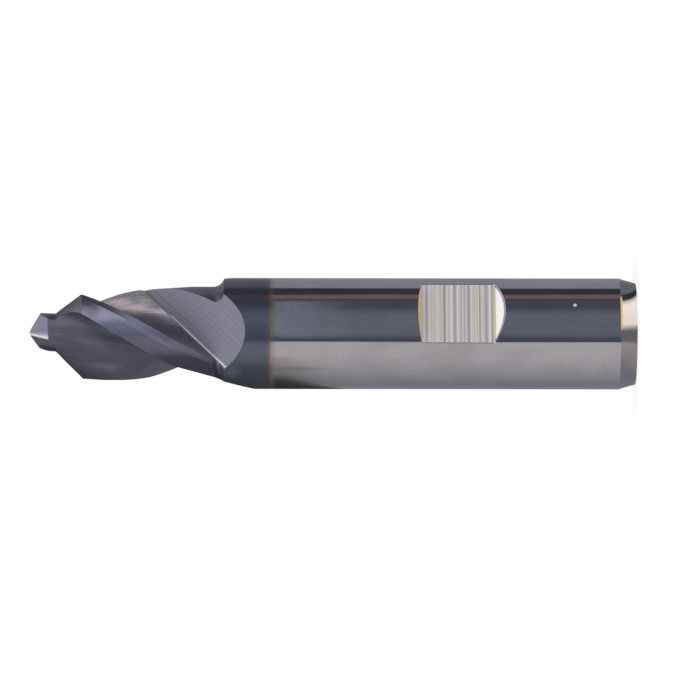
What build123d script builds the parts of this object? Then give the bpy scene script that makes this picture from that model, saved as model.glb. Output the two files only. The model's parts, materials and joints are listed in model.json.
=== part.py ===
"""Solid carbide step drill with three helical flutes and a side-lock shank.

The drill stands on the rear end of its shank: the origin is the centre of that face,
+Z runs along the axis to the point, and the flat of the shank faces -Y.
Lengths are in millimetres and angles in degrees, positive in the cutting direction.
"""

import os
from math import acos, asin, atan, atan2, cos, degrees, hypot, pi, radians, sin, sqrt, tan

from build123d import *

# Shank
shank_diameter = 14.0
shank_length = 51.8
rear_chamfer_length = 2.1
rear_chamfer_angle = 16.5
seam_azimuth = 127.5

# Side-lock flat
flat_to_axis = 5.65
flat_centre_height = 22.4
flat_length = 9.1
flat_rear_ramp_angle = 45.0
flat_front_wall_angle = 70.0
flat_corner_radius = 0.25
flat_azimuth = -90.0

# Head
head_length = 24.7
body_diameter = 11.8
shoulder_ease = 0.4
pilot_diameter = 5.1
pilot_length = 1.95
step_angle = 90.0
point_angle = 118.0

# Flutes
flute_count = 3
helix_angle = 29.3
core_radius_front = 1.62
core_radius_rear = 1.85
rake_floor_radius_front = 12.0
rake_floor_radius_rear = 2.5
rake_floor_half_width = 1.4
heel_floor_radius_front = 30.0
heel_floor_radius_rear = 4.2
heel_floor_half_width_front = 2.0
heel_floor_half_width_rear = 1.4
heel_corner_radius_front = 0.6
heel_corner_radius_rear = 3.45
heel_corner_share_front = 0.8
heel_corner_share_rear = 0.61
wall_end_angle = 88.0
land_width_front = 25.5
land_width_rear = 44.0
edge_azimuth_at_step = -60.4

# Run-out of each flute into the shank
runout_height = 49.05
runout_slope = 33.9
runout_leads = (43.5, 43.5, 33.5)
wheel_trace_angle = 38.2
wheel_edge_offset = 5.3

# Lift-off of the wheel at the heel of one flute, further along the shank
liftoff_flute = 2
liftoff_height = 47.6
liftoff_slope = 17.2
liftoff_lead = 66.2
liftoff_length = 9.5
liftoff_tail = 1.5

# Lands
margin_angle = 8.0
relief_offset = 0.74
relief_fade_length = 3.2
relief_fade_end = 0.1
land_cut_behind = 62.0
land_cut_ahead = 12.0

# Point
flank_clearance = 12.0
web_offset = 0.1
gash_root_lead = 14.0
gash_back_slope = 34.0
gash_back_lead = 36.5
gash_root_radius = 0.45
gash_reach = 4.5

# Worked out from the sizes above
shank_radius = shank_diameter / 2
body_radius = body_diameter / 2
pilot_radius = pilot_diameter / 2
overall_length = shank_length + head_length
point_height = pilot_radius / tan(radians(point_angle / 2))
step_height = (body_radius - pilot_radius) / tan(radians(step_angle / 2))
pilot_top = overall_length - point_height
pilot_foot = pilot_top - pilot_length
step_foot = pilot_foot - step_height
shoulder_rise = shank_radius - body_radius
shoulder_radius = shoulder_rise + shoulder_ease
shoulder_run = sqrt(shoulder_radius**2 - shoulder_ease**2)
body_foot = shank_length + shoulder_run
turn_per_mm = 360 * tan(radians(helix_angle)) / (pi * body_diameter)
pitch = 360 / flute_count

# Cutting tools: how far they reach past the drill, and how many sections each loft has
reach = shank_diameter
wheel_reach = 8 * reach
clear = 1.0
groove_run_in = 6.0
groove_run_off = 2.0
groove_section_count = 19
shoulder_section_count = 8
fade_section_count = 4
body_section_count = 11
step_section_count = 6
pilot_section_count = 5


def edge_azimuth(z):
    """Direction of the first cutting edge at height z."""
    return edge_azimuth_at_step + turn_per_mm * (z - step_foot)


def along_head(z, at_shoulder, at_point):
    """Value that changes evenly from the shoulder to the point and stays the same beyond them."""
    share = min(max((z - shank_length) / head_length, 0), 1)
    return at_shoulder + (at_point - at_shoulder) * share


def core_radius(z):
    """Distance from the axis to the floor of a flute at height z."""
    return along_head(z, core_radius_rear, core_radius_front)


def half_opening(z):
    """Half of a flute's opening at height z, seen from the axis at the body's radius."""
    return (pitch - along_head(z, land_width_rear, land_width_front)) / 2


def floor_end(z, floor, half_width):
    """End of a floor of the given radius at height z, and the direction across it into the flute."""
    bend = asin(half_width / floor)
    end = Vector(core_radius(z) + floor * (1 - cos(bend)), half_width)
    return end, Vector(cos(bend), -sin(bend))


def wall_top(z):
    """Where the wall of a flute reaches the body's radius at height z, with Y positive."""
    return Vector(*polar(body_radius, half_opening(z)))


def wall_centre(z, start, inward):
    """Centre of the wall that leaves its start square to a direction and passes through its top."""
    chord = wall_top(z) - start
    return start + inward * (chord.dot(chord) / (2 * chord.dot(inward)))


def rake_side(z):
    """Start and centre of the wall along the cutting edge, on the side where Y is positive."""
    floor = 1 / along_head(z, 1 / rake_floor_radius_rear, 1 / rake_floor_radius_front)
    join, inward = floor_end(z, floor, rake_floor_half_width)
    return join, wall_centre(z, join, inward)


def heel_side(z):
    """Start, middle and end of the corner along the heel of the next land, and the wall's centre."""
    floor = 1 / along_head(z, 1 / heel_floor_radius_rear, 1 / heel_floor_radius_front)
    half_width = along_head(z, heel_floor_half_width_rear, heel_floor_half_width_front)
    radius = along_head(z, heel_corner_radius_rear, heel_corner_radius_front)
    share = along_head(z, heel_corner_share_rear, heel_corner_share_front)
    start, inward = floor_end(z, floor, half_width)
    onward = inward.rotate(Axis.Z, 90)
    turn = share * onward.get_angle(wall_top(z) - start)
    centre = start + inward * radius
    middle = centre - inward.rotate(Axis.Z, -turn / 2) * radius
    inward = inward.rotate(Axis.Z, -turn)
    end = centre - inward * radius
    return start, middle, end, wall_centre(z, end, inward)


def flute_azimuth(z):
    """Direction of the middle of the first flute at height z."""
    return edge_azimuth(z) + half_opening(z)


def rake_lead(z, r):
    """How far the rake face at radius r lies ahead of the edge at the body's radius."""
    join, centre = rake_side(z)
    away = centre.length
    wall = (join - centre).length
    swing = acos((away**2 + r**2 - wall**2) / (2 * away * r))
    return half_opening(z) - degrees(atan2(centre.Y, centre.X) + swing)


def heights(start, end, count):
    """Evenly spaced heights from start to end."""
    return [start + (end - start) * i / (count - 1) for i in range(count)]


def polar(r, angle):
    """Point at radius r and a direction in degrees."""
    return (r * cos(radians(angle)), r * sin(radians(angle)))


def around(shape):
    """The shape once for each flute."""
    return [Rot(0, 0, pitch * i) * shape for i in range(flute_count)]


def turned_blank():
    """Shank, shoulder, body, step, pilot and point as one turned piece."""
    chamfer_radius = shank_radius - rear_chamfer_length * tan(radians(rear_chamfer_angle))
    outline = Polyline(
        (0, 0), (chamfer_radius, 0), (shank_radius, rear_chamfer_length), (shank_radius, shank_length)
    )
    fillet_centre = (body_radius + shoulder_radius, body_foot)
    start = degrees(atan(shoulder_run / shoulder_ease))
    middle = polar(shoulder_radius, 180 + start / 2)
    fillet = ThreePointArc(
        (shank_radius, shank_length),
        (fillet_centre[0] + middle[0], fillet_centre[1] + middle[1]),
        (body_radius, body_foot),
    )
    head = Polyline(
        (body_radius, body_foot),
        (body_radius, step_foot),
        (pilot_radius, pilot_foot),
        (pilot_radius, pilot_top),
        (0, overall_length),
        (0, 0),
    )
    profile = Plane.XZ * make_face(outline + fillet + head)
    return Rot(0, 0, seam_azimuth) * revolve(profile, Axis.Z)


def flute_section(z):
    """Face of the groove at height z: round towards the axis and square outside the drill."""
    start, middle, corner_end, centre = heel_side(z)
    heel_wall, heel_end = flute_wall(corner_end, centre)
    heel = flute_floor(z, start) + ThreePointArc(start, middle, corner_end) + heel_wall
    join, centre = rake_side(z)
    rake_wall, rake_end = flute_wall(join, centre)
    rake = mirror(flute_floor(z, join) + rake_wall, about=Plane.XZ)
    end = Vector(rake_end.X, -rake_end.Y)
    outside = Polyline(heel_end, (reach, heel_end.Y), (reach, end.Y), end)
    face = make_face(heel + outside + rake)
    return Rot(0, 0, flute_azimuth(z)) * Pos(0, 0, z) * face


def flute_floor(z, end):
    """Floor of the flute at height z, from its middle to one end."""
    return TangentArc((core_radius(z), 0), end, tangent=(0, 1))


def flute_wall(start, centre):
    """Wall of the flute from its start to the outer end, and that end."""
    inner = degrees(atan2(start.Y - centre.Y, start.X - centre.X))
    outer = 180 - wall_end_angle
    radius = (start - centre).length
    halfway = centre + Vector(*polar(radius, (inner + outer) / 2))
    end = centre + Vector(*polar(radius, outer))
    return ThreePointArc(start, halfway, end), end


def flute_cutters():
    """Helical groove of each flute, ended by the grinding wheel's flat run-out."""
    span = heights(runout_height - groove_run_in, overall_length + groove_run_off, groove_section_count)
    groove = loft([flute_section(z) for z in span])
    cutters = []
    for index, lead in enumerate(runout_leads):
        wheel = runout_plane(lead)
        trace = wheel * Pos(0, -wheel_edge_offset, 0) * wheel_path(Align.MIN, Align.CENTER)
        below = wheel * wheel_path(Align.CENTER, Align.MAX)
        cutters.append(Rot(0, 0, pitch * index) * (groove + trace - below))
    return cutters


def wheel_path(across, up):
    """Block larger than the drill, to one side of or below the wheel's face."""
    return Box(wheel_reach, wheel_reach, wheel_reach, align=(Align.CENTER, across, up))


def runout_plane(lead):
    """Plane of the run-out: its x axis follows the wheel's trace, its z axis points outwards."""
    azimuth = edge_azimuth(shank_length) + lead
    slope = radians(runout_slope)
    trace = radians(wheel_trace_angle)
    downhill = (sin(slope), 0, -cos(slope))
    direction = (downhill[0] * cos(trace), -sin(trace), downhill[2] * cos(trace))
    plane = Plane(
        origin=(shank_radius, 0, runout_height), x_dir=direction, z_dir=(cos(slope), 0, sin(slope))
    )
    return Plane(Location((0, 0, 0), (0, 0, azimuth)) * plane.location)


def relief_at(z, r):
    """Eccentricity of a land of radius r at height z: it fades out towards the shoulder."""
    share = (z - shank_length) / relief_fade_length
    return relief_offset * min(r / body_radius, 1) * min(max(share, relief_fade_end), 1)


def relief_section(z, r, start, ahead):
    """Face outside the eccentric arc of a land that has radius r at the angle start."""
    offset = relief_at(z, r)
    arc_radius = hypot(r * cos(radians(start)), r * sin(radians(start)) - offset)

    def on_arc(angle):
        across = offset * cos(radians(angle))
        return polar(offset * sin(radians(angle)) + sqrt(arc_radius**2 - across**2), angle)

    outer = shank_radius + clear
    first = start + ahead
    last = -land_cut_behind
    middle = (first + last) / 2
    inner_arc = ThreePointArc(on_arc(first), on_arc(middle), on_arc(last))
    outer_arc = ThreePointArc(polar(outer, last), polar(outer, middle), polar(outer, first))
    sides = Line(on_arc(last), polar(outer, last)) + Line(polar(outer, first), on_arc(first))
    return Rot(0, 0, edge_azimuth(z)) * Pos(0, 0, z) * make_face(inner_arc + outer_arc + sides)


def shoulder_profile(z):
    """Radius of the shoulder's fillet at height z."""
    return body_radius + shoulder_radius - sqrt(shoulder_radius**2 - (body_foot - z) ** 2)


def body_relief_cutters():
    """Relief behind the margin of the first land, along the shoulder and along the body."""
    full_relief = shank_length + relief_fade_length
    spans = [
        heights(shank_length, body_foot, shoulder_section_count),
        heights(body_foot, full_relief, fade_section_count),
        heights(full_relief, step_foot + clear, body_section_count),
    ]
    cutters = []
    for span in spans:
        faces = []
        for z in span:
            r = shoulder_profile(z) if z < body_foot else body_radius
            faces.append(relief_section(z, r, -margin_angle, margin_angle / 2))
        cutters.append(loft(faces))
    return cutters


def liftoff_cutter():
    """Flat where the wheel lifts off beside the run-out of one flute."""
    azimuth = edge_azimuth(shank_length) + liftoff_lead + pitch * liftoff_flute
    slope = radians(liftoff_slope)
    plane = Plane(
        origin=(shank_radius, 0, liftoff_height),
        x_dir=(-sin(slope), 0, cos(slope)),
        z_dir=(cos(slope), 0, sin(slope)),
    )
    block = Box(liftoff_length, reach, reach, align=(Align.MIN, Align.CENTER, Align.MIN))
    tail = Box(liftoff_tail, reach, reach, align=(Align.MIN, Align.MAX, Align.MIN))
    return Rot(0, 0, azimuth) * (plane * (block + Pos(liftoff_length, 0, 0) * tail))


def step_relief_cutter():
    """Relief behind the first cutting edge of the step."""
    faces = []
    widening = tan(radians(step_angle / 2))
    for z in heights(step_foot - clear, pilot_foot, step_section_count):
        r = pilot_radius + (pilot_foot - z) * widening
        lead = rake_lead(z, min(r, body_radius))
        faces.append(relief_section(z, r, lead, land_cut_ahead))
    return loft(faces)


def pilot_relief_cutter():
    """Relief behind the first edge of the pilot."""
    faces = []
    for z in heights(pilot_foot, overall_length, pilot_section_count):
        lead = rake_lead(z, pilot_radius)
        faces.append(relief_section(z, pilot_radius, lead, land_cut_ahead))
    return loft(faces)


def lip_azimuth():
    """Direction of the first lip of the point, at the pilot's corner."""
    return edge_azimuth(pilot_top) + rake_lead(pilot_top, pilot_radius)


def flank_cutter():
    """Everything above the flat flank behind the first lip."""
    fall = radians(90 - point_angle / 2)
    lip = (cos(fall), 0, -sin(fall))
    clearance = radians(flank_clearance)
    behind = (0, -cos(clearance), -sin(clearance))
    normal = Vector(*lip).cross(Vector(*behind)) * -1
    plane = Plane(origin=(0, 0, overall_length), x_dir=lip, z_dir=normal)
    block = plane * Box(reach, reach, reach, align=(Align.CENTER, Align.CENTER, Align.MIN))
    return Rot(0, 0, lip_azimuth()) * block


def gash_cutter():
    """Notch that thins the web ahead of the first lip, with a rounded root."""
    swing = radians(gash_back_lead - gash_root_lead)
    slope = atan(tan(radians(gash_back_slope)) / cos(swing))
    root = Vector(*polar(sin(slope), gash_root_lead), -cos(slope))
    fall = radians(90 - point_angle / 2)
    lip = Vector(cos(fall), 0, -sin(fall))
    back_slope = radians(gash_back_slope)
    back = Vector(*polar(cos(back_slope), gash_back_lead), sin(back_slope))
    start = Vector(0, -web_offset, overall_length)
    plane = Plane(origin=start, x_dir=lip - root * lip.dot(root), z_dir=root)
    rake_direction = plane.to_local_coords(start + lip)
    uphill = root.cross(back)
    if uphill.dot(Vector(0, 1, 0)) < 0:
        uphill = uphill * -1
    back_direction = plane.to_local_coords(start + uphill)
    rake_end = Vector(rake_direction.X, rake_direction.Y).normalized() * reach
    back_end = Vector(back_direction.X, back_direction.Y).normalized() * reach
    outline = Polyline(
        (rake_end.X, rake_end.Y), (0, 0), (back_end.X, back_end.Y),
        (rake_end.X + back_end.X, rake_end.Y + back_end.Y), close=True,
    )
    notch = make_face(outline)
    corner = notch.vertices().sort_by_distance((0, 0, 0))[0]
    notch = fillet(corner, gash_root_radius)
    wedge = plane * extrude(notch, reach, both=True)
    tip = Pos(0, 0, overall_length) * Cylinder(gash_reach, reach)
    return Rot(0, 0, lip_azimuth()) * (wedge & tip)


def flat_cutter():
    """Pocket of the side-lock flat, with a ramp to the rear and a steep wall to the front."""
    depth = shank_radius - flat_to_axis + clear
    bottom = flat_centre_height - flat_length / 2
    top = flat_centre_height + flat_length / 2
    ramp = depth / tan(radians(flat_rear_ramp_angle))
    wall = depth / tan(radians(flat_front_wall_angle))
    outer = flat_to_axis + depth
    outline = Polyline(
        (flat_to_axis, bottom), (flat_to_axis, top), (outer, top + wall), (outer, bottom - ramp),
        close=True,
    )
    face = make_face(outline)
    corners = face.vertices().group_by(Axis.X)[0]
    face = fillet(corners, flat_corner_radius)
    pocket = extrude(Plane.XZ * face, shank_radius, both=True)
    return Rot(0, 0, flat_azimuth) * pocket


def step_drill():
    """The finished drill."""
    drill = turned_blank()
    for cutter in body_relief_cutters() + [step_relief_cutter(), pilot_relief_cutter()]:
        drill = drill - around(cutter)
    for cutter in flute_cutters():
        drill = drill - cutter
    for cutter in (flank_cutter(), gash_cutter()):
        drill = drill - around(cutter)
    return drill - liftoff_cutter() - flat_cutter()


os.makedirs("parts", exist_ok=True)
part = step_drill()
export_step(part, "parts/step_drill.step")
print("volume", round(part.volume, 2), "mm3, solids", len(part.solids()))
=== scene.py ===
# Looks of the step drill bit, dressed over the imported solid, in metres
import json
from math import cos, pi, radians, sin

import bpy
from mathutils import Matrix, Vector

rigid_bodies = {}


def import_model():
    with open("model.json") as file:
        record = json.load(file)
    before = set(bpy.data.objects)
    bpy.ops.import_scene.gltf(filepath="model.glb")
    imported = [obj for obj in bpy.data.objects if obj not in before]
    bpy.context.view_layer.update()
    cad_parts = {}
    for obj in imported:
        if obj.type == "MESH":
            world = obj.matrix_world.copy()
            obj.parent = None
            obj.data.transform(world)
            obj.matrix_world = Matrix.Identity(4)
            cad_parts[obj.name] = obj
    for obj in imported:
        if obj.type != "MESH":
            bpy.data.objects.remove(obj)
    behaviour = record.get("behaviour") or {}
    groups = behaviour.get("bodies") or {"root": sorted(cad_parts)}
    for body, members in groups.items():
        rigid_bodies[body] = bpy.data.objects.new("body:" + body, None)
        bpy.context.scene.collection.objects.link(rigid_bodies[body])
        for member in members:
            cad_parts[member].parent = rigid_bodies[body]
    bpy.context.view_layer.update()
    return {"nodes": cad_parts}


for leftover in list(bpy.data.objects):
    bpy.data.objects.remove(leftover)
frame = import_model()
print("frame loaded:", sorted(frame["nodes"]))


class Wire:  # a socket of a node tree; sums and products of wires add Math nodes
    def __init__(self, tree, socket=None):
        self.tree = tree
        self.socket = socket

    def node(self, kind, settings=None, sockets=None, out=0):
        made = self.tree.nodes.new("ShaderNode" + kind)
        for name, value in (settings or {}).items():
            if name == "stops":
                fillRamp(made.color_ramp, value)
            else:
                setattr(made, name, value)
        for name, value in (sockets or {}).items():
            if isinstance(value, Wire):
                self.tree.links.new(value.socket, made.inputs[name])
            else:
                made.inputs[name].default_value = value
        return Wire(self.tree, made.outputs[out]) if made.outputs else made

    def maths(self, operation, *values):
        return self.node("Math", {"operation": operation}, dict(enumerate(values)))

    def __add__(self, other):
        return self.maths("ADD", self, other)

    def __sub__(self, other):
        return self.maths("SUBTRACT", self, other)

    def __rsub__(self, other):
        return self.maths("SUBTRACT", other, self)

    def __mul__(self, other):
        return self.maths("MULTIPLY", self, other)

    def __truediv__(self, other):
        return self.maths("DIVIDE", self, other)

    def __rtruediv__(self, other):
        return self.maths("DIVIDE", other, self)

    def __neg__(self):
        return self.maths("SUBTRACT", 0, self)

    def __abs__(self):
        return self.maths("ABSOLUTE", self)

    __radd__ = __add__
    __rmul__ = __mul__

    def rise(self, low, high):  # 0 below low, 1 above high, smooth between
        return self.node("MapRange", {"interpolation_type": "SMOOTHSTEP"},
                         {"Value": self, "From Min": low, "From Max": high})

    def blend(self, first, second):  # colour: first where this is 0, second where it is 1
        first, second = [tone if isinstance(tone, Wire) else (*tone, 1) for tone in (first, second)]
        return self.node("Mix", {"data_type": "RGBA"}, {0: self, 6: first, 7: second}, out=2)

    def vector(self, operation, *others, out=0):
        return self.node("VectorMath", {"operation": operation}, dict(enumerate((self, *others))), out)

    def along(self, way):  # how far this vector reaches in a direction
        return self.vector("DOT_PRODUCT", way, out=1)

    def length(self):
        return self.vector("LENGTH", out=1)


def fillRamp(ramp, stops):
    while len(ramp.elements) < len(stops):
        ramp.elements.new(1.0)
    for element, (place, colour) in zip(ramp.elements, stops):
        element.position = place
        element.color = (*colour, 1.0)


def newTree(block):
    block.use_nodes = True
    block.node_tree.nodes.clear()
    return Wire(block.node_tree)


def within(wire, limits, soft):  # 1 between two limits, with soft ends
    low, high = limits
    start, end = soft
    return wire.rise(low - start / 2, low + start / 2) * (1 - wire.rise(high - end / 2, high + end / 2))


def direction(azimuth):  # level direction by its azimuth in degrees
    return Vector((cos(radians(azimuth)), sin(radians(azimuth)), 0))


def pointAt(azimuth, radius, height):
    return direction(azimuth) * radius + Vector((0, 0, height))


frontAzimuth = -116.5  # degrees, the side of the drill that the photograph shows
axis = (0, 0, 1)
levelPart = (1, 1, 0)

# The camera is level with the drill and rolled a quarter turn, as the drill lies in the picture
cameraSizes = {
    "distance": 0.6936,
    "height": 0.03751,
    "drop": 0.00044,
    "roll": 0.08,  # degrees beyond the quarter turn
    "pictureWidth": 0.08512,  # what the picture spans at the drill's axis
    "sensor": 36.0,
}


def makeCamera(sizes):
    data = bpy.data.cameras.new("camera")
    data.sensor_width = sizes["sensor"]
    data.lens = sizes["sensor"] * sizes["distance"] / sizes["pictureWidth"]
    camera = bpy.data.objects.new("camera", data)
    bpy.context.scene.collection.objects.link(camera)
    back = direction(frontAzimuth)
    up = direction(frontAzimuth + 90)
    right = Vector((0, 0, -1))
    turn = Matrix((right, up, back)).transposed().to_4x4()
    place = back * sizes["distance"] - up * sizes["drop"] + Vector((0, 0, sizes["height"]))
    camera.matrix_world = Matrix.Translation(place) @ turn @ Matrix.Rotation(radians(sizes["roll"]), 4, "Z")
    bpy.context.scene.camera = camera


makeCamera(cameraSizes)
print("camera placed")

# The studio round the drill: a pale floor and a white sky. What the polished drill mirrors is two
# ring walls, a high one far off and a low one near its foot, rings on the floor, and a sky of its own.
# They hold named cards, and only reflections show them. A card's angles go round the drill in
# degrees, from its front and upwards in the picture. Its heights go towards the point, and its slant
# is how many metres they move in a turn. A later card hangs in front of an earlier one.
studio = {
    "floorRadius": 3.0,
    "floorMatt": (0.9, 0.9, 0.9),
    "floorGlow": 0.62,
    "floorGlowShare": 0.55,
    "floorLift": 0.3,
    "walls": ((0.75, 0.55), (0.032, 0.014)),  # radius and height
    "wallSides": 96,
    "wallsApart": (0.1, 0.2),  # radii between the low wall and the high one
    "lowFade": (0.006, 0.014),  # heights over which the low wall fades out
    "parallax": 0.0035,  # as a share of the radius, this draws the cards in towards the front
    "wall": (0.29, 0.29, 0.33),
    "cards": {
        "paleFront": {"angles": (-84, -17), "soft": (80, 2), "tone": (0.53, 0.51, 0.53)},
        "lowerSeam": {"angles": (-190, -119), "soft": (40, 26), "tone": (0.25, 0.25, 0.3)},
        "darkRoom": {"angles": (-17, 110), "soft": (2, 3), "tone": (0.075, 0.08, 0.11)},
        "roomLight": {"angles": (-6, 48), "soft": (16, 26), "tone": (0.165, 0.175, 0.22)},
        "roomWindow": {"angles": (-8, 72), "soft": (10, 12), "heights": (0.0425, 0.0561),
                       "fade": (0.004, 0.004), "tone": (0.235, 0.25, 0.32)},
        "warmStrip": {"angles": (79, 89), "soft": (2, 4), "tone": (0.24, 0.13, 0.13)},
        "blackFlag": {"angles": (91, 108), "soft": (3, 5), "tone": (0.045, 0.045, 0.05)},
        "lowFlag": {"angles": (-200, -66), "soft": (20, 24), "heights": (0.0566, 0.6),
                    "fade": (0.004, 0.04), "slant": 0.063, "tone": (0.045, 0.05, 0.055)},
        "patch": {"angles": (-230, -52), "soft": (20, 9), "heights": (0.054, 0.075),
                  "fade": (0.002, 0.01), "slant": 0.075, "tone": (0.275, 0.27, 0.275)},
        "patchDeep": {"angles": (-230, -96), "soft": (20, 50), "heights": (0.0505, 0.075),
                      "fade": (0.002, 0.01), "slant": 0.075, "tone": (0.035, 0.035, 0.035)},
        "landGlow": {"angles": (-13, 40), "soft": (18, 30), "heights": (0.12, 0.34),
                     "fade": (0.05, 0.1), "tone": (0.72, 0.75, 0.93)},
        "softbox": {"angles": (20, 56), "soft": (14, 22), "heights": (0.16, 0.4),
                    "fade": (0.04, 0.1), "tone": (2.5, 2.35, 2.6)},
    },
    # From the drill outwards, the mirrored floor shows its own cards, the walls', the middle ones and
    # the walls' again. These are the radii where it changes.
    "floorRings": ((0.011, 0.016), (0.032, 0.036), (0.1, 0.125)),
    "floor": (0.41, 0.37, 0.38),
    "floorCards": {
        "lowGrey": {"angles": (-180, -38), "soft": (20, 50), "tone": (0.23, 0.21, 0.25)},
        "floorGloom": {"angles": (-11, 12), "soft": (5, 10), "tone": (0.19, 0.18, 0.21)},
        "lampGlow": {"angles": (9, 47), "soft": (12, 14), "tone": (1.28, 1.18, 1.03)},
        "upperGrey": {"angles": (52, 180), "soft": (6, 6), "tone": (0.18, 0.18, 0.21)},
        "blackFlag": {"angles": (51, 64), "soft": (5, 5), "tone": (0.04, 0.045, 0.05)},
    },
    "midFloor": (0.32, 0.32, 0.35),
    "midCards": {
        "lamp": {"angles": (-12, 50), "soft": (40, 40), "tone": (0.95, 0.98, 1.08)},
    },
    "sky": (0.2, 0.2, 0.2),
    "skyCards": {  # heights here are those of a direction of length 1
        "front": {"angles": (-120, 120), "soft": (60, 60), "tone": (1.15, 1.15, 1.15)},
        "gloom": {"angles": (84, 220), "soft": (20, 20), "heights": (-1, 0.66),
                  "fade": (0.1, 0.12), "tone": (0.15, 0.15, 0.16)},
        "overhead": {"angles": (24, 76), "soft": (20, 20), "heights": (0.5, 0.82),
                     "fade": (0.16, 0.08), "tone": (2.8, 2.5, 2.6)},
    },
}


def ringAngle(place):  # 0 to 1 once round the drill, from behind through below, front and above
    front = place.along(direction(frontAzimuth))
    above = place.along(direction(frontAzimuth + 90))
    return above.maths("ARCTAN2", above, front) / (2 * pi) + 0.5


def hangCards(place, backing, cards, spread=1):  # colour of a backing with its cards in front
    ring = (ringAngle(place) - 0.5) * spread + 0.5
    height = place.along(axis)
    tone = backing
    for card in cards.values():
        low, high = [(angle + 180) / 360 for angle in card["angles"]]
        share = within(ring, (low, high), [angle / 360 for angle in card["soft"]])
        if "heights" in card:
            above = height - card.get("slant", 0) * (ring - high)
            share = share * within(above, card["heights"], card["fade"])
        tone = share.blend(tone, card["tone"])
    return tone


def onlyMirrored(tree):  # 1 for what a glossy surface sees
    return tree.node("LightPath", out="Is Glossy Ray")


def newObject(name, corners, faces, material):
    mesh = bpy.data.meshes.new(name)
    mesh.from_pydata(corners, [], faces)
    mesh.materials.append(material)
    made = bpy.data.objects.new(name, mesh)
    bpy.context.scene.collection.objects.link(made)
    return made


def makeFloor(sizes):
    material = bpy.data.materials.new("paleFloor")
    tree = newTree(material)
    place = tree.node("NewGeometry", out="Position")
    radius = place.length()
    far = hangCards(place, sizes["wall"], sizes["cards"], sizes["parallax"] / radius + 1)
    mid = hangCards(place, sizes["midFloor"], sizes["midCards"])
    mirrored = hangCards(place, sizes["floor"], sizes["floorCards"])
    for limits, tone in zip(sizes["floorRings"], (far, mid, far)):
        mirrored = radius.rise(*limits).blend(mirrored, tone)
    mirror = tree.node("Emission", None, {"Color": mirrored})
    matt = tree.node("BsdfDiffuse", None, {"Color": (*sizes["floorMatt"], 1)})
    glow = tree.node("Emission", None, {"Strength": sizes["floorGlow"]})
    pale = tree.node("MixShader", None, {0: sizes["floorGlowShare"], 1: matt, 2: glow})
    lift = tree.node("Emission", None, {"Strength": sizes["floorLift"]})
    both = tree.node("AddShader", None, {0: pale, 1: lift})
    shader = tree.node("MixShader", None, {0: onlyMirrored(tree), 1: both, 2: mirror})
    tree.node("OutputMaterial", None, {"Surface": shader})
    reach = sizes["floorRadius"]
    corners = [(-reach, -reach, 0), (reach, -reach, 0), (reach, reach, 0), (-reach, reach, 0)]
    floor = newObject("floor", corners, [(0, 1, 2, 3)], material)


def makeWall(sizes):
    material = bpy.data.materials.new("studioWall")
    tree = newTree(material)
    place = tree.node("NewGeometry", out="Position")
    radius = place.vector("MULTIPLY", levelPart).length()
    tone = hangCards(place, sizes["wall"], sizes["cards"], sizes["parallax"] / radius + 1)
    glow = tree.node("Emission", None, {"Color": tone})
    gone = (1 - radius.rise(*sizes["wallsApart"])) * place.along(axis).rise(*sizes["lowFade"])
    shader = tree.node("MixShader", None, {0: gone, 1: glow, 2: tree.node("BsdfTransparent")})
    tree.node("OutputMaterial", None, {"Surface": shader})
    count = sizes["wallSides"]
    corners = []
    faces = []
    for ringRadius, top in sizes["walls"]:
        first = len(corners)
        for height in (0, top):
            corners += [tuple(pointAt(360 * i / count, ringRadius, height)) for i in range(count)]
        faces += [[first + k for k in (i, (i + 1) % count, count + (i + 1) % count, count + i)]
                  for i in range(count)]
    wall = newObject("studioWall", corners, faces, material)
    wall.visible_camera = False
    wall.visible_diffuse = False
    wall.visible_shadow = False


def makeSky(sizes):
    world = bpy.data.worlds.new("sky")
    tree = newTree(world)
    mirrored = hangCards(tree.node("TexCoord", out="Generated"), sizes["sky"], sizes["skyCards"])
    tone = onlyMirrored(tree).blend((1, 1, 1), mirrored)
    sky = tree.node("Background", None, {"Color": tone})
    tree.node("OutputWorld", None, {"Surface": sky})
    bpy.context.scene.world = world


makeFloor(studio)
makeWall(studio)
makeSky(studio)
bpy.context.scene.view_settings.view_transform = "Standard"
print("studio ready")


# The drill is one piece with one material, and each kind of surface on it has its own dictionary. A
# pair of numbers there is where a mask rises, or where a band starts and ends, and a pair named soft
# is how softly the band does so. A gloss is roughness and metal. A noise has how fine it is per
# metre, how detailed, and between which values it rises.
def grain(wire, stretch, detail, limits=None):
    stretched = wire.vector("MULTIPLY", stretch)
    noise = wire.node("TexNoise", None, {"Vector": stretched, "Scale": 1.0, "Detail": detail})
    return noise.rise(*limits) if limits else noise


def lines(wire, scale, detail, limits=None):  # the same of one coordinate
    noise = wire.node("TexNoise", {"noise_dimensions": "1D"}, {"W": wire, "Scale": scale, "Detail": detail})
    return noise.rise(*limits) if limits else noise


def spot(place, centre, reach):  # round mark at an azimuth, radius and height
    return 1 - place.vector("DISTANCE", pointAt(*centre), out=1).rise(*reach)


def toward(first, second, share):
    return first + (second - first) * share


def over(share, under, top):  # a look is its colour, roughness and metal
    return share.blend(under[0], top[0]), toward(under[1], top[1], share), toward(under[2], top[2], share)


body = {
    "shoulder": (0.0516, 0.052),
    "stepFoot": 0.0697,
    "pointFoot": 0.073,
    "radius": 0.0059,
    "pilotRadius": 0.00255,
    "twistPerMetre": 95.1,  # radians that the flutes turn, per metre of length
    "streaks": ((2600, 2600, 60), 3),  # along the flutes
}


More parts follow.
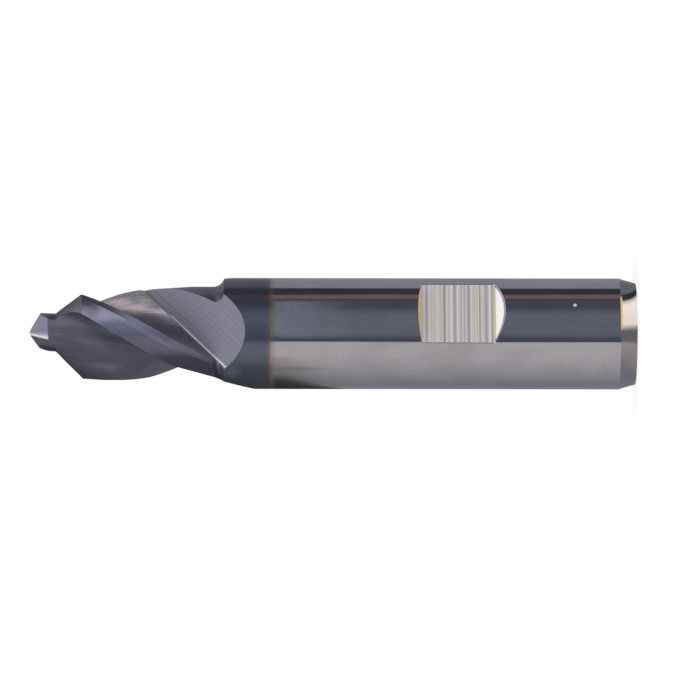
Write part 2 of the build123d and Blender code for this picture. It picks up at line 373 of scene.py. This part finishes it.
def findSurface(tree, sizes):  # coordinates of the drill's surface
    place = tree.node("TexCoord", out="Object")
    normal = tree.node("NewGeometry", out="Normal")
    height = place.along(axis)
    level = place.vector("MULTIPLY", levelPart)
    radius = level.length()
    outline = height.node("MapRange", None, {
        "Value": height, "From Min": sizes["stepFoot"], "From Max": sizes["pointFoot"],
        "To Min": sizes["radius"], "To Max": sizes["pilotRadius"]})
    unwound = place.node("VectorRotate", {"rotation_type": "Z_AXIS"},
                         {"Vector": place, "Angle": height * -sizes["twistPerMetre"]})
    return {
        "place": place,
        "normal": normal,
        "steepness": normal.along(axis),
        "turning": normal.along(level.vector("CROSS_PRODUCT", (0, 0, -1))) / radius,
        "height": height,
        "radius": radius,
        "outlineShare": radius / outline,
        "unwound": unwound,
        "streaks": grain(unwound, *sizes["streaks"]),
        "head": height.rise(*sizes["shoulder"]),
    }


shank = {  # bare polished carbide, then a thin grey coating whose edge is tinted
    "coatEdge": (0.04506, 0.04646),
    "edgeWave": 0.00012,
    "wave": ((600, 600, 120), 3),
    "edgeTints": [(0.0, (0.62, 0.61, 0.62)), (0.21, (0.57, 0.54, 0.49)), (0.42, (0.54, 0.46, 0.39)),
                  (0.63, (0.42, 0.35, 0.29)), (0.84, (0.27, 0.22, 0.21)), (1.0, (0.16, 0.182, 0.225))],
    "plainShare": 0.83,
    "sparkleShare": 0.24,
    "sparkle": ((5200, 5200, 5200), 1),
    "smudgeShare": 0.1,
    "smudge": ((330, 330, 198), 3, (0.35, 0.65)),
    # the spot is a painted reflection: a lighter bluish spot on the coat beside the shoulder, at the lower
    # side
    "paintedReflection": (0.3, 0.33, 0.4),
    "paintedReflectionShare": 0.8,
    "paintedReflectionSpot": ((-160.5, 0.007, 0.0508), (0.0, 0.0018)),
    "bareGloss": (0.07, 1.0),
    "coatGloss": (0.22, 0.93),
}


def shankLook(surface, sizes):
    place = surface["place"]
    wave = sizes["edgeWave"] * (grain(place, *sizes["wave"]) - 0.5)
    coated = (surface["height"] + wave).rise(*sizes["coatEdge"])
    colour = coated.node("ValToRGB", {"stops": sizes["edgeTints"]}, {0: coated})
    sparkle = grain(place, *sizes["sparkle"]) * sizes["sparkleShare"]
    smudge = grain(place, *sizes["smudge"]) * sizes["smudgeShare"]
    colour = colour.vector("MULTIPLY", sparkle + smudge + sizes["plainShare"])
    # painted reflection: a lighter spot on the coat beside the shoulder
    paintedReflection = coated * spot(place, *sizes["paintedReflectionSpot"]) * sizes["paintedReflectionShare"]
    gloss = [toward(bare, coat, coated) for bare, coat in zip(sizes["bareGloss"], sizes["coatGloss"])]
    return paintedReflection.blend(colour, sizes["paintedReflection"]), *gloss


lands = {
    "outline": (0.82, 0.88),  # share of the outline's radius
    "turning": (0.3, 0.45),  # how far a surface faces round the drill
    "tone": (0.187, 0.19, 0.245),
    "dark": (0.165, 0.168, 0.22),
    "cloud": ((900, 900, 24), 4, (0.35, 0.65)),
    "gloss": (0.25, 0.85),
    # gloom is painted shade: a darker spot on the first land near the step, where its reflection falls off
    "gloom": (0.07, 0.075, 0.1),
    "paintedShadeShare": 0.55,
    "paintedShadeSpot": ((-87.5, 0.0057, 0.0683), (0.0002, 0.0016)),
    "margin": (0.25, 0.25, 0.33),
    "marginShare": 0.9,
    "marginOutline": (0.984, 0.99),
    "marginMiddle": 0.0608,
    "marginAway": (0.001, 0.006),  # from its middle
}


def landMask(surface, sizes):
    level = 1 - abs(surface["turning"]).rise(*sizes["turning"])
    return surface["outlineShare"].rise(*sizes["outline"]) * level * surface["head"]


def landLook(surface, sizes):
    colour = grain(surface["unwound"], *sizes["cloud"]).blend(sizes["dark"], sizes["tone"])
    # painted shade on the first land near the step
    gloom = spot(surface["place"], *sizes["paintedShadeSpot"]) * sizes["paintedShadeShare"]
    away = abs(surface["height"] - sizes["marginMiddle"]).rise(*sizes["marginAway"])
    margin = surface["outlineShare"].rise(*sizes["marginOutline"]) * (1 - away) * sizes["marginShare"]
    return margin.blend(gloom.blend(colour, sizes["gloom"]), sizes["margin"]), *sizes["gloss"]


flutes = {
    # The flutes' tone is darker than the lands': partly their own rougher finish, partly painted shade in
    # the hollows.
    "tone": (0.12, 0.125, 0.15),
    "light": (0.22, 0.22, 0.262),
    "gloss": (0.42, 0.7),
    "streakShare": 0.7,
    "fleckShare": 0.35,
    "flecks": ((900, 900, 160), 3, (0.62, 0.78)),
    "sheenShare": 0.52,
    "sheen": ((420, 420, 150), 3, (0.38, 0.72)),
    "lightShift": 0.02,
    "wornAndHighlight": (0.4, 0.355, 0.36),  # lighter pinkish patches on the heel's wall: partly worn coating, partly a painted highlight
    "heelTurning": (0.05, 0.5),
    "wallInner": (0.0019, 0.0029),
    "wallOuter": (0.005, 0.0056),
    "wallOuterLoss": 0.6,
    "wornAndHighlightTop": (0.0655, 0.069),
    "wornAndHighlightEase": (0.0625, 0.0645),
    "wornAndHighlightEaseLoss": 0.38,
    "mottle": ((900, 900, 240), 5),
    "mottleShare": 2.2,
    "wornAndHighlightStreakShare": 1.1,
    "wornAndHighlightShift": -1.08,
    "wornAndHighlightRise": (-0.1, 0.85),
}


# lighter patches on the heel's wall, partly worn coating and partly a painted highlight
def wornAndHighlightMask(surface, sizes):
    radius = surface["radius"]
    height = surface["height"]
    heel = (-surface["turning"]).rise(*sizes["heelTurning"])
    band = radius.rise(*sizes["wallInner"]) * (1 - sizes["wallOuterLoss"] * radius.rise(*sizes["wallOuter"]))
    below = 1 - height.rise(*sizes["wornAndHighlightTop"])
    ease = 1 - sizes["wornAndHighlightEaseLoss"] * height.rise(*sizes["wornAndHighlightEase"])
    mottle = grain(surface["unwound"], *sizes["mottle"]) * sizes["mottleShare"]
    patches = mottle + surface["streaks"] * sizes["wornAndHighlightStreakShare"] + sizes["wornAndHighlightShift"]
    return heel * band * below * ease * patches.rise(*sizes["wornAndHighlightRise"])


def fluteLook(surface, sizes):
    flecks = grain(surface["unwound"], *sizes["flecks"]) * sizes["fleckShare"]
    sheen = grain(surface["unwound"], *sizes["sheen"]) * sizes["sheenShare"]
    light = (surface["streaks"] - 0.5) * sizes["streakShare"] + flecks + sheen + sizes["lightShift"]
    colour = light.rise(0, 1).blend(sizes["tone"], sizes["light"])
    # the heel's wall gets its lighter patches: partly worn coating, partly a painted highlight
    return wornAndHighlightMask(surface, sizes).blend(colour, sizes["wornAndHighlight"]), *sizes["gloss"]


paintedShoulderShade = {  # painted shade under the shoulder, at the lower side
    "tone": (0.06, 0.065, 0.085),
    "share": 0.7,
    "heights": (0.0518, 0.0529),
    "heightsSoft": (0.0002, 0.0006),
    "below": (0.0022, 0.0032),
}


def headLook(surface, sizes):
    colour, *gloss = over(landMask(surface, lands), fluteLook(surface, flutes), landLook(surface, lands))
    # painted shade: a darker band under the shoulder, at the lower side
    below = surface["place"].along(direction(frontAzimuth - 90)).rise(*sizes["below"])
    dark = within(surface["height"], sizes["heights"], sizes["heightsSoft"]) * below * sizes["share"]
    return dark.blend(colour, sizes["tone"]), *gloss


facets = {  # run-outs of the wheel behind the flutes
    "azimuths": (-114.3, 5.7, 115.7),
    "slope": 33.9,
    "trace": 38.2,
    "originRadius": 0.007,
    "originHeight": 0.04905,
    "facing": (0.97, 0.99),
    "off": (0.00002, 0.00005),  # how far a point of a facet may lie from its plane
    "tone": (0.2, 0.2, 0.265),
    "dark": (0.13, 0.12, 0.15),
    "gloss": (0.36, 0.35),
    "wheelLines": (7600, 2),
    "wheelLinesRise": (0.25, 0.55),
    "scores": (2600, 1, (0.2, 0.5)),
    "scoresTop": (0.0535, 0.0585),
    "edge": (-0.0054, -0.0052),
    "edgeSoft": (0.00006, 0.00006),
    "edgeTop": (0.0583, 0.0587),
    # the brink is the wall beside each run-out's edge, painted as a lighter, less metallic strip: a painted
    # highlight
    "brink": (-0.00537, -0.00525),
    "brinkSoft": (0.00002, 0.00002),
    "brinkAbove": (0, 0.0015),
    "brinkAboveSoft": (0.0001, 0.0002),
    "brinkTone": (0.24, 0.215, 0.22),
    "brinkMetalLoss": 0.7,
}


def tilted(azimuth, slope):  # direction that leans up from the level by the slope
    return direction(azimuth) * cos(radians(slope)) + Vector((0, 0, sin(radians(slope))))


def facetPlane(sizes, azimuth):  # normal, direction across the wheel's trace, and origin of a run-out
    slope = radians(sizes["slope"])
    trace = radians(sizes["trace"])
    across = Vector((sin(slope) * sin(trace), cos(trace), -cos(slope) * sin(trace)))
    across.rotate(Matrix.Rotation(radians(azimuth), 3, "Z"))
    origin = pointAt(azimuth, sizes["originRadius"], sizes["originHeight"])
    return tilted(azimuth, sizes["slope"]), across, origin


def facetPlaces(surface, sizes):
    place = surface["place"]
    facet = facetLine = edge = brink = 0
    for azimuth in sizes["azimuths"]:
        facing, across, origin = facetPlane(sizes, azimuth)
        above = place.along(facing) - facing.dot(origin)
        reach = place.along(across) - across.dot(origin)
        share = surface["normal"].along(facing).rise(*sizes["facing"]) * (1 - abs(above).rise(*sizes["off"]))
        facet = facet + share
        facetLine = facetLine + share * reach
        # a band along each run-out's edge, where a highlight is painted
        edge = edge + share * within(reach, sizes["edge"], sizes["edgeSoft"])
        rim = within(above, sizes["brinkAbove"], sizes["brinkAboveSoft"])
        brink = brink + within(reach, sizes["brink"], sizes["brinkSoft"]) * rim
    return {
        "facet": facet,
        "facetLine": facetLine,
        "wheelLines": lines(facetLine, *sizes["wheelLines"]),
        "facetEdge": edge * (1 - surface["height"].rise(*sizes["edgeTop"])),
        "brink": brink * (1 - facet),
    }


def facetLook(surface, sizes):
    scores = lines(surface["facetLine"], *sizes["scores"]) + 1 - surface["height"].rise(*sizes["scoresTop"])
    share = surface["wheelLines"].rise(*sizes["wheelLinesRise"]) * scores.rise(0, 1)
    return share.blend(sizes["dark"], sizes["tone"]), *sizes["gloss"]


gashes = {  # web thinning at the point
    "foot": (0.0734, 0.0737),
    "steepness": (0.52, 0.6),
    "steepnessSoft": (0.03, 0.03),
    "rootAzimuths": (-89.8, 30.2, 150.2),
    "rootSlope": 27.0,
    "rootFacing": (0.934, 0.958),
    "rootFoot": (0.073, 0.0734),
    "rootShare": 0.8,
    "side": (0.5, 0.55),
    "nearTurn": 63.3,
    "near": (-0.0006, 0.0003),
    "nearShare": 0.7,
}


def gashPlaces(surface, sizes):
    place = surface["place"]
    steep = within(surface["steepness"], sizes["steepness"], sizes["steepnessSoft"])
    gash = surface["height"].rise(*sizes["foot"]) * steep
    root = 0
    for azimuth in sizes["rootAzimuths"]:
        # the roots, where a highlight is painted, by how they face and on which side
        fillet = surface["normal"].along(tilted(azimuth, sizes["rootSlope"])).rise(*sizes["rootFacing"])
        side = (place.along(direction(azimuth)) / surface["radius"]).rise(*sizes["side"])
        near = 1 - place.along(direction(azimuth + sizes["nearTurn"])).rise(*sizes["near"])
        root = root + fillet * sizes["rootShare"] + gash * side * near * sizes["nearShare"]
    return {"gash": gash, "root": root * surface["height"].rise(*sizes["rootFoot"])}


flat = {  # the clamping flat, which faces -Y
    "radius": (0.00692, 0.00697),
    "ends": (0.0156, 0.0285),
    "endsSoft": (0.0001, 0.0001),
    # the tints are grinding stripes, with painted reflection in their pale tones
    "tints": [(0.3, (0.26, 0.245, 0.26)), (0.42, (0.38, 0.355, 0.37)), (0.5, (0.45, 0.43, 0.42)),
              (0.56, (0.6, 0.56, 0.47)), (0.62, (0.44, 0.43, 0.5)), (0.72, (0.74, 0.72, 0.7))],
    "stripes": (2300, 4),
    # the ramp's near white is a painted highlight on the flat's rounded end
    "ramp": (0.95, 0.94, 0.9),
    "rampSteepness": (0.5, 0.6),
    "goldLine": (0.7, 0.46, 0.13),
    "goldFoot": (0.00572, 0.00588),
    "wallSteepness": (0.3, 0.5),
    "goldTop": (0.006, 0.0063),
    "blueLine": (0.12, 0.13, 0.4),
    "blueFoot": (0.00672, 0.0069),
    "gloss": (0.45, 0.08),
}


def flatMask(surface, sizes):
    cut = 1 - surface["radius"].rise(*sizes["radius"])
    return cut * within(surface["height"], sizes["ends"], sizes["endsSoft"])


def flatLook(surface, mask, sizes):
    depth = surface["place"].along((0, -1, 0))
    ramp = mask * surface["steepness"].rise(*sizes["rampSteepness"])
    wall = mask * (-surface["steepness"]).rise(*sizes["wallSteepness"])
    gold = ramp * (1 - depth.rise(*sizes["goldFoot"])) + wall * depth.rise(*sizes["goldTop"])
    blue = ramp * surface["radius"].rise(*sizes["blueFoot"])
    stripes = lines(surface["height"], *sizes["stripes"])
    colour = stripes.node("ValToRGB", {"stops": sizes["tints"]}, {0: stripes})
    # the rounded end gets its painted highlight here, then the gold and blue lines
    for share, tone in ((ramp, "ramp"), (gold, "goldLine"), (blue, "blueLine")):
        colour = share.blend(colour, sizes[tone])
    return colour, *sizes["gloss"]


marks = {
    "nick": (0.55, 0.55, 0.53),
    "nickSpot": ((-85.6, 0.007, 0.00782), (0.00018, 0.00026)),
    "endLine": (0.7, 0.46, 0.13),  # at the corner of the rear chamfer
    "endHeights": (0.00188, 0.00212),
    "endHeightsSoft": (0.00004, 0.00004),
    "endFront": (0.003, 0.0035),
    "endAbove": (0.0007, 0.0046),
    "endAboveSoft": (0.0006, 0.0006),
    "gloss": (0.45, 0.08),
}


def addMarks(surface, look, sizes):
    place = surface["place"]
    front = place.along(direction(frontAzimuth)).rise(*sizes["endFront"])
    above = within(place.along(direction(frontAzimuth + 90)), sizes["endAbove"], sizes["endAboveSoft"])
    end = within(surface["height"], sizes["endHeights"], sizes["endHeightsSoft"]) * front * above
    look = over(spot(place, *sizes["nickSpot"]), look, (sizes["nick"], *sizes["gloss"]))
    return over(end, look, (sizes["endLine"], *sizes["gloss"]))


carbide = {
    "paintedHighlight": (0.62, 0.58, 0.57),  # painted highlight at the run-outs' edges and in the gashes' roots
    "cloud": ((420, 420, 420), 3),
    "cloudRoughness": 0.04,
    "turned": (5200, 3),
    "turnedShare": 0.15,
    "reliefStrength": 0.25,
    "reliefDistance": 0.00001,
}


def makeCarbide(sizes):
    material = bpy.data.materials.new("carbideDrill")
    tree = newTree(material)
    surface = findSurface(tree, body)
    surface.update(facetPlaces(surface, facets))
    surface.update(gashPlaces(surface, gashes))
    look = over(surface["head"], shankLook(surface, shank), headLook(surface, paintedShoulderShade))
    colour, rough, metal = over(surface["facet"], look, facetLook(surface, facets))
    colour = surface["gash"].blend(colour, facets["tone"])
    # painted highlight along the brink beside each run-out
    colour = surface["brink"].blend(colour, facets["brinkTone"])
    # painted highlight along the run-outs' edges and in the gashes' roots
    colour = (surface["facetEdge"] + surface["root"]).blend(colour, sizes["paintedHighlight"])
    metal = metal * (1 - facets["brinkMetalLoss"] * surface["brink"])
    mask = flatMask(surface, flat)
    look = over(mask, (colour, rough, metal), flatLook(surface, mask, flat))
    colour, rough, metal = addMarks(surface, look, marks)

    turned = lines(surface["height"], *sizes["turned"]) * sizes["turnedShare"]
    ground = surface["streaks"] * surface["head"] + surface["wheelLines"] * surface["facet"]
    bump = tree.node("Bump", None, {
        "Strength": sizes["reliefStrength"], "Distance": sizes["reliefDistance"], "Height": turned + ground})
    cloud = (grain(surface["place"], *sizes["cloud"]) - 0.5) * sizes["cloudRoughness"]
    shader = tree.node("BsdfPrincipled", None, {
        "Base Color": colour, "Roughness": rough + cloud, "Metallic": metal, "Normal": bump})
    tree.node("OutputMaterial", None, {"Surface": shader})
    return material


drill = frame["nodes"]["step_drill"]
drill.material_slots[0].material = makeCarbide(carbide)
print("drill dressed")
